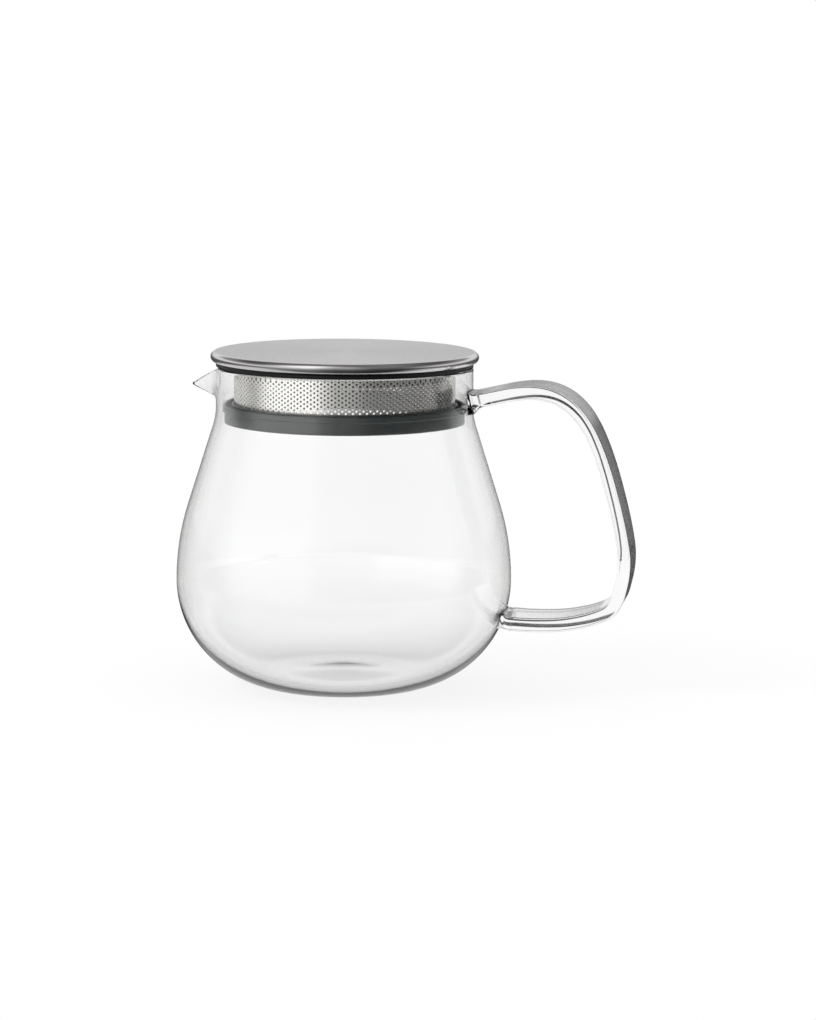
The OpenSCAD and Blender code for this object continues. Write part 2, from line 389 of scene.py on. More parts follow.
@dataclass(frozen=True)
class Finish:
    """What every finish has: a name, the record's slot and a way to make its material.

    Lengths in the finishes are in metres, as the nodes take them.
    """

    name: str
    slot: str

    def material(self) -> bpy.types.Material:
        """Makes the material, or finds it if it is made.

        Returns:
            The one material that all pieces of this finish share.
        """
        made = bpy.data.materials.get(self.name)
        if made is None:
            made = bpy.data.materials.new(self.name)
            self.wire(Tree(made))
        return made

    def wire(self, tree: Tree) -> None:
        """Builds the node tree."""
        raise NotImplementedError


@dataclass(frozen=True)
class BlownGlass(Finish):
    """Clear borosilicate glass, greyer where it is seen edge on: partly its longer path through
    the glass, partly painted shade that stands in for the dark surroundings seen at its edges.
    """

    ior: float = 1.47
    # painted shade in part: the facing ramp greys the glass towards its edges, more than its
    # own thickness would
    stops: Stops = (
        (0.0, WHITE), (0.22, (0.998, 0.998, 1.0)), (0.36, (0.965, 0.967, 0.967)),
        (0.5, (0.925, 0.928, 0.926)), (0.65, (0.885, 0.888, 0.882)), (0.78, (0.81, 0.81, 0.8)),
        (0.88, (0.76, 0.76, 0.75)), (1.0, (0.66, 0.66, 0.65)))
    wave: float = 0.01
    wave_scale: float = 45.0
    wave_h: float = 0.001

    def wire(self, tree: Tree) -> None:
        """Full transmission, tinted darker by Layer Weight's facing (partly the glass's path
        length, partly painted shade towards the edges), over a faint wave.

        Args:
            tree: the material's empty tree.
        """
        facing = tree.add("LayerWeight", Blend=0.5).outputs["Facing"]
        place = tree.add("TexCoord").outputs["Object"]
        noise = tree.add("TexNoise", Vector=place, Scale=self.wave_scale, Detail=1.0)
        bump = tree.add("Bump", Height=noise.outputs["Fac"], Strength=self.wave,
                        Distance=self.wave_h)
        shader = tree.add("BsdfPrincipled", Base_Color=tree.ramp(facing, self.stops),
                          Roughness=0.0, IOR=self.ior, Normal=bump.outputs[0])
        shader.inputs["Transmission Weight"].default_value = 1.0
        tree.finish(shader)


@dataclass(frozen=True)
class SpunSteel(Finish):
    """Steel with the fine rings that turning leaves on it."""

    colour: Colour = (0.76, 0.74, 0.755)
    shades: tuple[float, float] = (0.93, 1.05)
    roughness: float = 0.27
    spread: float = 0.12
    anisotropy: float = 0.3
    rings_per_metre: float = 9000.0
    broad_per_metre: float = 700.0
    broad_share: float = 0.3
    ring_depth: float = 0.08
    ring_h: float = 0.0002
    polished_r: float = 0.0402
    polish: float = 0.6

    def wire(self, tree: Tree) -> None:
        """Noise on the distance from the axis gives the rings. The rolled edge is polished.

        Args:
            tree: the material's empty tree.
        """
        radius = tree.radius()
        rings = tree.add("TexNoise", noise_dimensions="1D", Scale=self.rings_per_metre,
                         W=radius, Detail=3.0, Roughness=0.65).outputs["Fac"]
        broad = tree.add("TexNoise", noise_dimensions="1D", Scale=self.broad_per_metre,
                         W=radius, Detail=2.0).outputs["Fac"]
        low, high = ([c * k for c in self.colour] for k in self.shades)
        share = tree.calc("MULTIPLY_ADD", rings, 1.0 - self.broad_share,
                          tree.calc("MULTIPLY", broad, self.broad_share))
        colour = tree.blend(share, low, high)
        rough = tree.swing(rings, self.roughness, self.spread)
        rolled = tree.calc("GREATER_THAN", radius, self.polished_r)
        rough = tree.calc("MULTIPLY", rough,
                          tree.calc("MULTIPLY_ADD", rolled, -self.polish, 1.0))
        bump = tree.add("Bump", Height=rings, Strength=self.ring_depth, Distance=self.ring_h)
        tangent = tree.add("Tangent", direction_type="RADIAL", axis="Z")
        shader = tree.add("BsdfPrincipled", Base_Color=colour, Metallic=1.0,
                          Roughness=rough, Anisotropic=self.anisotropy,
                          Tangent=tangent.outputs[0], Normal=bump.outputs[0])
        tree.finish(shader)


@dataclass(frozen=True)
class SheetSteel(Finish):
    """Thin perforated sheet, rolled, with a satin face."""

    colour: Colour = (0.8, 0.79, 0.76)
    roughness: float = 0.26
    spread: float = 0.16
    grain_scale: float = 900.0
    grain_depth: float = 0.05
    grain_h: float = 0.0001

    def wire(self, tree: Tree) -> None:
        """Satin steel with a cloudy roll grain.

        Args:
            tree: the material's empty tree.
        """
        place = tree.add("TexCoord").outputs["Object"]
        grain = tree.add("TexNoise", Vector=place, Scale=self.grain_scale,
                         Detail=4.0).outputs["Fac"]
        rough = tree.swing(grain, self.roughness, self.spread)
        bump = tree.add("Bump", Height=grain, Strength=self.grain_depth,
                        Distance=self.grain_h)
        shader = tree.add("BsdfPrincipled", Metallic=1.0, Roughness=rough,
                          Normal=bump.outputs[0])
        shader.inputs["Base Color"].default_value = (*self.colour, 1.0)
        tree.finish(shader)


@dataclass(frozen=True)
class Moulding(Finish):
    """Moulded plastic or rubber with a faint mottled skin."""

    colour: Colour = (0.02, 0.02, 0.022)
    shades: tuple[float, float] = (0.85, 1.15)
    cloud_scale: float = 90.0
    roughness: float = 0.4
    spread: float = 0.14
    ior: float = 1.45
    grain_scale: float = 1500.0
    grain_depth: float = 0.1
    grain_h: float = 0.0001

    def wire(self, tree: Tree) -> None:
        """A dark skin whose grain moves its gloss and its shade a little.

        Args:
            tree: the material's empty tree.
        """
        place = tree.add("TexCoord").outputs["Object"]
        grain = tree.add("TexNoise", Vector=place, Scale=self.grain_scale,
                         Detail=3.0).outputs["Fac"]
        cloud = tree.add("TexNoise", Vector=place, Scale=self.cloud_scale,
                         Detail=2.0).outputs["Fac"]
        dark, light = ([c * k for c in self.colour] for k in self.shades)
        colour = tree.ramp(cloud, [(0.3, dark), (0.7, light)])
        rough = tree.swing(grain, self.roughness, self.spread)
        bump = tree.add("Bump", Height=grain, Strength=self.grain_depth,
                        Distance=self.grain_h)
        shader = tree.add("BsdfPrincipled", Base_Color=colour, Roughness=rough,
                          IOR=self.ior, Normal=bump.outputs[0])
        tree.finish(shader)


CLEAR_GLASS = BlownGlass("clear glass", "clear_glass")
# The handle's ramps are painted shade: they darken its glass seen edge on, and its outer side
# almost to black, where dark surroundings would show in it.
HANDLE_GLASS_PAINTED_SHADE = BlownGlass("handle glass", "handle_glass", stops=(
    (0.0, grey(0.975)), (0.4, grey(0.965)), (0.68, grey(0.91)), (0.8, grey(0.8)),
    (0.88, grey(0.6)), (1.0, grey(0.35))))
OUTER_GLASS_PAINTED_SHADE = BlownGlass("outer handle glass", "handle_glass", stops=(
    (0.0, grey(1.0)), (0.4, grey(0.95)), (0.66, grey(0.6)), (0.76, grey(0.25)),
    (0.82, grey(0.08)), (1.0, grey(0.05))))
LID_STEEL = SpunSteel("lid steel", "lid_steel")
STRAINER_STEEL = SheetSteel("strainer steel", "strainer_steel")
BLACK_PLASTIC = Moulding("black plastic", "black_plastic", colour=(0.005, 0.005, 0.006))
SEAL_RUBBER = Moulding("seal rubber", "seal_rubber", colour=(0.014, 0.03, 0.029),
                       roughness=0.36, ior=1.9, grain_depth=0.0)


# ---------------------------------------------------------------- vessel


@dataclass
class Vessel:
    """The blown body: foot, belly, shoulder, neck, rim and the lip pulled out of the rim."""

    belly_r: float = 52.5
    belly_h: float = 34.0
    foot_r: float = 18.5
    shoulder_r: float = 78.03
    shoulder_lean: float = 17.5
    neck_r: float = 40.1
    hollow_r: float = 22.0
    neck_low: float = 88.7
    rim_h: float = 100.8
    wall: float = 1.8
    floor: float = 2.8
    foot_push: float = 0.6
    floor_crown: float = 0.35  # rise of the inner floor's middle
    rim_cap: float = 0.7
    lip_half_angle: float = 19.8
    lip_reach: float = 8.0
    lip_sweep: float = 2.39
    lip_drop: float = 6.4
    lip_wall: float = 1.2
    lip_rise: float = 1.7  # the lip's two inner handles: up from the neck,
    lip_lean: float = 4.9  # in from the edge
    lip_turn: float = 2.4  # and down from the edge
    lip_soft: float = 0.05
    tip_soft: float = 0.13
    columns: int = 320
    even_share: float = 0.4
    foot_steps: int = 44
    shoulder_steps: int = 16
    straight_steps: int = 13
    hollow_steps: int = 12
    neck_rows: int = 26
    rim_steps: int = 12
    disc_steps: int = 8

    def wall_line(self, inset: float, lift: float) -> np.ndarray:
        """Foot's ellipse, shoulder's arc, straight shoulder and hollow, from the foot up.

        Args:
            inset: how far the line lies inside the outer skin.
            lift: how far the ellipse's lowest point is raised.

        Returns:
            Rows of radius and height.
        """
        lean = self.shoulder_lean
        foot = arc((self.foot_r, self.belly_h), self.belly_r - self.foot_r - inset,
                   self.belly_h - lift, -90.0, 0.0, self.foot_steps)
        r = self.shoulder_r - inset
        shoulder = arc((self.belly_r - self.shoulder_r, self.belly_h), r, r, 0.0, lean,
                       self.shoulder_steps)
        r = self.hollow_r + inset
        hollow = arc((self.neck_r + self.hollow_r, self.neck_low), r, r, 180.0 + lean, 180.0,
                     self.hollow_steps)
        t = np.linspace(0.0, 1.0, self.straight_steps + 1)[1:-1, None]
        straight = shoulder[-1] * (1.0 - t) + hollow[0] * t
        return np.concatenate([foot, shoulder[1:], straight, hollow])

    def outside_r(self, z: np.ndarray) -> np.ndarray:
        """Outer radius of the wall at a height, read off the wall line."""
        line = self.wall_line(0.0, 0.0)
        return np.interp(z, line[:, 1], line[:, 0])

    def bearings(self) -> np.ndarray:
        """Angles from the lip, closer together there: a share of p plus the rest of p cubed."""
        p = np.linspace(-1.0, 1.0, self.columns, endpoint=False)
        return np.pi * (self.even_share * p + (1.0 - self.even_share) * p ** 3)

    def lip_share(self, phi: np.ndarray) -> tuple[np.ndarray, np.ndarray]:
        """How far the lip is pulled at each bearing, from 0 outside it to 1 at its point.

        The share is a tent over the bearing. Its point is rounded by a root of squares, and
        its feet by a soft corner, the logarithm of one plus an exponential.

        Args:
            phi: bearings from the lip's middle, in radians.

        Returns:
            The share and the bearing over the lip's half angle.
        """
        ratio = np.abs(phi) / math.radians(self.lip_half_angle)
        e = self.tip_soft
        tent = 1.0 - (np.sqrt(ratio ** 2 + e * e) - e) / (math.sqrt(1.0 + e * e) - e)
        k = self.lip_soft
        share = k * np.logaddexp(0.0, tent / k)
        return share / (k * np.logaddexp(0.0, 1.0 / k)), ratio

    def neck(self, phi: np.ndarray) -> tuple[np.ndarray, np.ndarray, np.ndarray]:
        """Outer skin from the top of the hollow to the rim, with the lip pulled out of it.

        Each upright line is a cubic with four handles: the neck, a point above it, a point
        short of the edge and the edge. Outside the lip they lie on one upright line.

        Args:
            phi: bearings from the lip's middle, in radians.

        Returns:
            Points, outward normals and wall thickness, as rows by columns.
        """
        share, ratio = self.lip_share(phi)
        share = share[None]
        ratio = np.minimum(ratio, 1.0)[None]
        w = np.linspace(0.0, 1.0, self.neck_rows + 1)[:, None]
        low, high = self.neck_low, self.rim_h - self.rim_cap
        reach = share * (self.lip_reach - self.lip_sweep * ratio)
        edge_z = high - self.lip_drop * share
        third = (high - low) / 3.0
        rise = third + (self.lip_rise - third) * share
        handle_out = self.lip_lean * share
        handle_up = third + (self.lip_turn - third) * share
        b0, b1 = (1.0 - w) ** 3, 3.0 * (1.0 - w) ** 2 * w
        b2, b3 = 3.0 * (1.0 - w) * w ** 2, w ** 3
        out = b2 * (reach - handle_out) + b3 * reach
        z = b0 * low + b1 * (low + rise) + b2 * (edge_z - handle_up) + b3 * edge_z
        x = -(self.neck_r * np.cos(phi)[None] + out)
        y = -self.neck_r * np.sin(phi)[None] + 0.0 * w
        skin = np.stack([x, y, z], -1)
        around = np.roll(skin, -1, 1) - np.roll(skin, 1, 1)
        up = np.gradient(skin, axis=0)
        normal = np.cross(around, up)
        normal /= np.linalg.norm(normal, axis=-1, keepdims=True)
        thick = self.wall + (self.lip_wall - self.wall) * share * smooth(w)
        return skin, normal, thick[..., None]

    def surface(self) -> np.ndarray:
        """The whole skin: foot, outer wall, lip, rounded rim, inner wall and floor.

        Returns:
            A grid of points, with a column for each bearing.
        """
        phi = self.bearings()
        outer = self.wall_line(0.0, 0.0)
        inner = self.wall_line(self.wall, self.floor)[::-1]
        share = np.linspace(0.0, 1.0, self.disc_steps + 1)[:-1]
        dome = (1.0 - share ** 2) ** 2
        foot = np.stack([share * self.foot_r, self.foot_push * dome], 1)
        floor = np.stack([share * self.foot_r, self.floor + self.floor_crown * dome], 1)[::-1]

        def carried(line: np.ndarray) -> np.ndarray:
            """A half-section carried round to each bearing."""
            r, z = line[:, :1], line[:, 1:]
            return np.stack([-r * np.cos(phi), -r * np.sin(phi), z + 0.0 * phi], -1)

        skin, normal, thick = self.neck(phi)
        lining = skin - normal * thick
        up = skin[-1] - skin[-2]
        up /= np.linalg.norm(up, axis=-1, keepdims=True)
        a = np.linspace(0.0, np.pi, self.rim_steps + 1)[1:-1, None, None]
        half = thick[-1] / 2.0
        cap = (skin[-1] - normal[-1] * half + normal[-1] * half * np.cos(a)
               + up * np.minimum(half, self.rim_cap) * np.sin(a))
        return np.concatenate([carried(foot), carried(outer[:-1]), skin, cap, lining[::-1],
                               carried(inner[1:]), carried(floor)])

    def build(self) -> None:
        """Makes the glass body."""
        body = patch_object("glass_vessel", Patch(self.surface()))
        dress(body, CLEAR_GLASS, Body.VESSEL, "glass_body")


@dataclass
class Handle:
    """The wide flat band that is fused to the neck and the belly."""

    vessel: Vessel
    reach: float = 90.8
    drop: float = 9.7
    foot_h: float = 22.9
    shares: tuple[tuple[float, float], ...] = (
        (0.131, -0.022), (0.281, -0.0455), (0.411, -0.0535), (0.522, -0.0415),
        (0.618, -0.009), (0.701, 0.044), (0.769, 0.115), (0.826, 0.202), (0.875, 0.299),
        (0.917, 0.401), (0.954, 0.503), (0.983, 0.6), (1.0, 0.312), (0.994, 0.235),
        (0.969, 0.166), (0.938, 0.11), (0.882, 0.068), (0.784, 0.04), (0.645, 0.016),
        (0.461, -0.0015), (0.228, -0.0065))
    upper_points: int = 12
    back_t: float = 3.7
    thickness: tuple[tuple[float, float], ...] = (
        (0.16, 4.2), (0.32, 3.5), (0.57, 3.7), (0.71, 4.2), (0.86, 4.2))
    width: float = 20.0
    edge: tuple[tuple[float, float], ...] = ((0.6, 0.6), (0.75, 0.8))
    bead: float = 1.8
    bead_l: float = 2.0
    weld: float = 1.1  # swell of the outline at the wall, which fades over weld_l
    weld_l: float = 1.0
    pinch: float = 0.45  # share of the width lost at the wall, which fades over pinch_l
    pinch_l: float = 1.6
    sink: float = 0.15  # depth of the ends in the wall
    root: float = 2.1  # depth at which the line starts and ends
    root_drop: float = 0.5
    samples: int = 2000
    stations: int = 280
    evened: int = 12
    end_rings: int = 20
    end_steps: int = 6
    corner_steps: int = 8
    flat_steps: int = 14

    def line(self) -> np.ndarray:
        """Points of the centre line, set in shares of the spans from each weld to the back.

        Returns:
            Rows of x and z, from just inside the neck to just inside the belly.
        """
        v = self.vessel
        top, back = v.rim_h - self.drop, self.reach - self.back_t / 2.0
        belly = float(v.outside_r(np.array([self.foot_h]))[0])
        fall = top - self.foot_h
        k = np.array(self.shares)
        upper = np.arange(len(k)) < self.upper_points
        near = np.where(upper, v.neck_r, belly)
        x = near + k[:, 0] * (back - near)
        z = np.where(upper, top - k[:, 1] * fall, self.foot_h + k[:, 1] * fall)
        return np.concatenate([[[v.neck_r - self.root, top - self.root_drop]],
                               np.stack([x, z], 1), [[belly - self.root, self.foot_h]]])

    def spine(self) -> tuple[np.ndarray, np.ndarray, np.ndarray]:
        """Centre line, its direction and the share of its length, by Catmull-Rom cubics.

        Returns:
            Points and unit directions as rows of x and z, and the share from 0 to 1.
        """
        p = self.line()
        p = np.concatenate([[2 * p[0] - p[1]], p, [2 * p[-1] - p[-2]]])
        u = np.linspace(0.0, len(p) - 3 - TINY, self.samples)
        i, f = u.astype(int), (u % 1.0)[:, None]
        a, b, c, d = (p[i + k] for k in range(4))
        fine = 0.5 * (2 * b + (c - a) * f + (2 * a - 5 * b + 4 * c - d) * f ** 2
                      + (3 * b - a - 3 * c + d) * f ** 3)
        length = np.concatenate([[0.0], np.cumsum(np.linalg.norm(np.diff(fine, axis=0),
                                                                 axis=1))])
        length /= length[-1]
        s = np.linspace(0.0, 1.0, self.stations)
        even = np.stack([np.interp(s, length, fine[:, k]) for k in (0, 1)], 1)
        way = np.gradient(even, axis=0)
        return even, way / np.linalg.norm(way, axis=1, keepdims=True), s

    def wall_x(self, y: np.ndarray, z: np.ndarray) -> np.ndarray:
        """Where a point of the band's end meets the vessel, sunk a little into its skin."""
        r = self.vessel.outside_r(z) - self.sink
        return np.sqrt(r ** 2 - y ** 2)

    def section(self) -> np.ndarray:
        """The outline's shape: which side each point is on, and its turn round the corner.

        Returns:
            Rows of side up, side across, share of the corner's radius up and across.
        """
        a = np.radians(np.linspace(0.0, 90.0, self.corner_steps + 1))
        c, v = np.cos(a), np.sin(a)
        flat = np.linspace(1.0, -1.0, self.flat_steps + 1)[1:-1]
        one, none = np.ones_like(flat), np.zeros_like(flat)
        corner = np.ones_like(a)
        return np.concatenate([
            np.stack([corner, corner, c, v], 1),
            np.stack([-corner, corner, -c[::-1], v[::-1]], 1),
            np.stack([-one, flat, -one, none], 1),
            np.stack([-corner, -corner, -c, -v], 1),
            np.stack([corner, -corner, c[::-1], -v[::-1]], 1),
            np.stack([one, -flat, one, none], 1)])

    def surface(self) -> np.ndarray:
        """The band: a flat rounded section carried along the line, and its fused ends.

        It starts and ends where the line comes out of the wall. It narrows there, by an
        exponential of the squared distance, and its outline swells, by one of the distance.

        Returns:
            A grid of points, with a row for each ring, from the top end to the bottom one.
        """
        spine, way, s = self.spine()
        off = spine[:, 0] - self.wall_x(0.0 * s, spine[:, 1])
        spine, way, s, off = (row[off > 0.0] for row in (spine, way, s, off))
        side = np.stack([-way[:, 1], way[:, 0]], 1)
        t = np.interp(s, *np.array(self.thickness).T) / 2.0
        spread = 2 * self.evened + 1
        t = np.convolve(np.pad(t, self.evened, "edge"), np.full(spread, 1.0 / spread), "valid")
        bead = self.bead * np.exp(-((spine[:, 0] - self.vessel.neck_r) / self.bead_l) ** 2)
        bead = np.where(s < 0.5, bead, 0.0)[:, None]
        edge = np.interp(s, *np.array(self.edge).T)[:, None]
        u, v, c, d = self.section().T
        up = u * (t[:, None] - edge) + edge * c
        across = v * (self.width / 2.0 - edge) + edge * d
        across *= 1.0 - self.pinch * np.exp(-(off / self.pinch_l) ** 2)[:, None]

        def placed(up: np.ndarray, across: np.ndarray) -> np.ndarray:
            """Section points set square to the centre line."""
            return np.stack([spine[:, :1] + side[:, :1] * up, across,
                             spine[:, 1:] + side[:, 1:] * up], -1)

        rings = placed(up, across)
        gap = np.maximum(rings[..., 0] - self.wall_x(rings[..., 1], rings[..., 2]), 0.0)
        swell = self.weld * np.exp(-gap / self.weld_l)
        below = np.where(c < 0.0, -c, 0.0)
        rings = placed(up + swell * c - bead * below, across + swell * d)
        for ends in (rings[:self.end_rings], rings[-self.end_rings:]):
            ends[..., 0] = np.maximum(ends[..., 0], self.wall_x(ends[..., 1], ends[..., 2]))
        for end in (rings[0], rings[-1]):
            end[:, 0] = self.wall_x(end[:, 1], end[:, 2])
        return np.concatenate([self.closed(rings[0])[::-1], rings, self.closed(rings[-1])])

    def closed(self, ring: np.ndarray) -> np.ndarray:
        """An end face that shrinks from a ring to a point, on the vessel's skin.

        Args:
            ring: points of the band's first or last ring.

        Returns:
            A grid of points, with a row for each step inwards.
        """
        centre = ring.mean(0)
        k = np.linspace(1.0, 0.0, self.end_steps + 1)[1:, None, None]
        face = centre + (ring - centre) * k
        face[..., 0] = self.wall_x(face[..., 1], face[..., 2])
        return face

    def build(self) -> None:
        """Makes the handle. Its glass darkens seen edge on, and its outer side far more than
        the rest of it: painted shade that stands in for dark surroundings seen in it.
        """
        band = patch_object("glass_handle", Patch(self.surface()))
        dress(band, HANDLE_GLASS_PAINTED_SHADE, Body.VESSEL, "handle")
        band.data.materials.append(OUTER_GLASS_PAINTED_SHADE.material())
        # Faces on the outer side get the outer ramp, whose painted shade is darker.
        columns, count = len(self.section()), len(band.data.polygons)
        place = np.arange(count)
        # The last faces are the triangles round the two poles.
        outer = (place < count - 2 * columns) & (place % columns >= columns - self.flat_steps)
        band.data.polygons.foreach_set("material_index", outer.astype(np.int32))


# ---------------------------------------------------------------- lid


@dataclass
class Lid:
    """Steel shell pressed over a black core whose collar drops into the neck."""

    top_h: float = 105.4
    shell_h: float = 3.2
    shell_r: float = 41.8
    sheet: float = 0.6
    curl: float = 0.8
    band_r: float = 40.1
    rim_h: float = 100.8
    collar_low: float = 97.4
    collar_r: float = 34.0
    collar_t: float = 1.4
    ceiling_h: float = 103.1
    gap: float = 0.1
    flat_r: tuple[float, ...] = (0.0, 10.0, 20.0, 30.0, 37.0, 39.0, 39.8)
    outer_steps: int = 40
    inner_steps: int = 24
    curl_steps: int = 8
    columns: int = 256

    def shell(self) -> np.ndarray:
        """Half-section of the shell: flat top, half-round edge and the curl under it.

        Returns:
            Rows of radius and height, from the top's middle to the underside's.
        """
        r, half = self.shell_h / 2.0, self.sheet / 2.0
        x, low = self.shell_r - r, self.top_h - self.shell_h
        bend = (x, low + r)
        outer = np.array([(flat, self.top_h) for flat in self.flat_r])
        inner = outer[::-1] - [0.0, self.sheet]
        return np.concatenate([
            outer, arc(bend, r, r, 90.0, -90.0, self.outer_steps),
            arc((x - self.curl, low + half), half, half, 270.0, 90.0, self.curl_steps),
            arc(bend, r - self.sheet, r - self.sheet, -90.0, 90.0, self.inner_steps), inner])

    def core(self) -> np.ndarray:
        """Half-section of the core: plug, band and collar with small rounded corners.

        Returns:
            Rows of radius and height, from the top's middle to the ceiling's.
        """
        plug_r = self.shell_r - self.shell_h / 2 - self.gap
        neck_r = plug_r - self.curl
        low = self.top_h - self.shell_h
        plug_top = self.top_h - self.sheet - self.gap
        plug_low = low + self.sheet + self.gap
        inner_r = self.collar_r - self.collar_t
        return rounded([
            (0.0, plug_top, 0.0), (plug_r, plug_top, 0.3), (plug_r, plug_low, 0.2),
            (neck_r, plug_low, 0.0), (neck_r, low, 0.05), (self.band_r, low, 0.0),
            (self.band_r, self.rim_h, 0.25), (self.collar_r, self.rim_h, 0.0),
            (self.collar_r, self.collar_low, 0.3), (inner_r, self.collar_low, 0.3),
            (inner_r, self.ceiling_h, 0.5), (0.0, self.ceiling_h, 0.0)])

    def build(self) -> None:
        """Makes the shell and the core."""
        shell = patch_object("steel_shell", Patch(turned(self.shell(), self.columns)))
        dress(shell, LID_STEEL, Body.LID, "lid_shell")
        core = patch_object("black_core", Patch(turned(self.core(), self.columns)))
        dress(core, BLACK_PLASTIC, Body.LID, "lid_core")


@dataclass
class Strainer:
    """Perforated sleeve that hangs from the lid's core."""

    radius: float = 34.5
    sheet: float = 0.4
    top_h: float = 100.8
    low_h: float = 85.4
    first_row: float = 100.1
    pitch: float = 0.684
    rows: int = 16
    per_row: int = 102
    hole: float = 0.7
    ease: float = 0.05
    crease: float = 40.0

    def sheet_points(self, flat: np.ndarray, depth: float) -> np.ndarray:
        """Bends flat points round the axis. A step is a full turn over the holes in a row.

        Args:
            flat: points as steps round the sleeve and heights.
            depth: how far they lie inside the outer face.

        Returns:
            The same points as x, y and z.
        """
        a = flat[..., 0] * 2.0 * np.pi / self.per_row
        r = self.radius - depth
        return np.stack([r * np.cos(a), r * np.sin(a), flat[..., 1]], -1)

    def cells(self) -> tuple[np.ndarray, np.ndarray]:
        """Each hole's cell: eight points of its border, and eight of the hole's edge.

        Odd rows are half a step round, so the borders' middles meet the next row's corners.

        Returns:
            Borders and edges as cells by eight by two, in steps and millimetres.
        """
        row, column = np.meshgrid(np.arange(self.rows), np.arange(self.per_row),
                                  indexing="ij")
        middle = np.stack([column + (row % 2) / 2.0,
                           self.first_row - row * self.pitch], -1).reshape(-1, 1, 2)
        square = np.array([[1, 0], [1, 1], [0, 1], [-1, 1], [-1, 0], [-1, -1], [0, -1],
                           [1, -1]]) / 2.0
        border = middle + square * [1.0, self.pitch]
        a = np.arange(8) * np.pi / 4.0
        step = 2.0 * np.pi * self.radius / self.per_row
        edge = middle + self.hole / 2.0 * np.stack([np.cos(a) / step, np.sin(a)], -1)
        return border, edge

    def strip(self, cells: int, start: int) -> np.ndarray:
        """Quads between two rings of eight points in each cell.

        Args:
            cells: number of cells.
            start: number of the first ring's first point.

        Returns:
            Rows of four point numbers.
        """
        i = np.arange(8)
        one = start + np.arange(cells)[:, None] * 8
        two = one + cells * 8
        quads = np.stack([one + i, one + (i + 1) % 8, two + (i + 1) % 8, two + i], -1)
        return quads.reshape(-1, 4)

    def band(self, near: float, end: float) -> list[tuple[float, float]]:
        """A plain band's half-section: from the cells to its eased edge, and back.

        Args:
            near: height beside the cells.
            end: height of the sleeve's own edge.

        Returns:
            Depths under the outer face, and heights.
        """
        t, e = self.sheet, self.ease
        turn = end - math.copysign(e, end - near)
        return [(0.0, near), (0.0, turn), (e, end), (t - e, end), (t, turn), (t, near)]

    def build(self) -> None:
        """Makes the sleeve: perforated cells with plain bands above and below them."""
        border, edge = self.cells()
        rings = [self.sheet_points(flat, depth) for flat, depth in (
            (border, 0.0), (edge, 0.0), (edge, self.sheet), (border, self.sheet))]
        count = border.shape[0] * 8
        points = [r.reshape(-1, 3) for r in rings]
        quads = [self.strip(len(border), k * count) for k in range(3)]
        start = 4 * count
        half_steps = np.arange(2 * self.per_row) / 2.0
        cell_top = self.first_row + self.pitch / 2.0
        cell_low = self.first_row - (self.rows - 0.5) * self.pitch
        for band in (self.band(cell_top, self.top_h), self.band(cell_low, self.low_h)[::-1]):
            grid = np.stack([self.sheet_points(
                np.stack([half_steps, np.full_like(half_steps, z)], -1), depth)
                for depth, z in band])
            faces, _ = Patch(grid).faces()
            points.append(grid.reshape(-1, 3))
            quads.append(faces + start)
            start += grid.shape[0] * grid.shape[1]
        points, quads = np.concatenate(points), np.concatenate(quads)
        keys, merged = np.unique(np.round(points, 4), axis=0, return_inverse=True)
        sleeve = make_mesh("perforated_sleeve", keys, merged.ravel()[quads],
                           np.zeros((0, 3), int))
        sleeve.data.set_sharp_from_angle(angle=math.radians(self.crease))
        dress(sleeve, STRAINER_STEEL, Body.LID, "strainer")


@dataclass
class Seal:
    """Smoky ring whose groove grips the sleeve and whose lip rides in the neck."""

    low: float = 83.3
    height: float = 6.0
    lip_r: float = 38.0
    body_r: float = 37.4
    lip_h: float = 2.0
    lip_t: float = 0.9
    groove_out: float = 34.65
    groove_in: float = 33.95
    groove_wall: float = 0.6
    inner_r: float = 33.05
    groove_low: float = 85.25
    columns: int = 256

    def outline(self) -> np.ndarray:
        """Half-section: body, lip with its channel, and the groove for the sleeve.

        Returns:
            Rows of radius and height, as a closed loop.
        """
        top = self.low + self.height
        channel = top - self.lip_h
        lip_in, wall_r = self.lip_r - self.lip_t, self.groove_out + self.groove_wall
        return rounded([
            (self.inner_r, self.low, 0.3), (self.body_r, self.low, 0.5),
            (self.body_r, channel, 0.2), (self.lip_r, channel, 0.2),
            (self.lip_r, top, 0.35), (lip_in, top, 0.35), (lip_in, channel, 0.3),
            (wall_r, channel, 0.2), (wall_r, top, 0.15), (self.groove_out, top, 0.15),
            (self.groove_out, self.groove_low, 0.1), (self.groove_in, self.groove_low, 0.1),
            (self.groove_in, top, 0.15), (self.inner_r, top, 0.2)])

    def build(self) -> None:
        """Makes the seal ring."""
        ring = patch_object("seal", Patch(turned(self.outline(), self.columns), tube=True))
        dress(ring, SEAL_RUBBER, Body.SEAL, "seal_ring")


# ---------------------------------------------------------------- studio


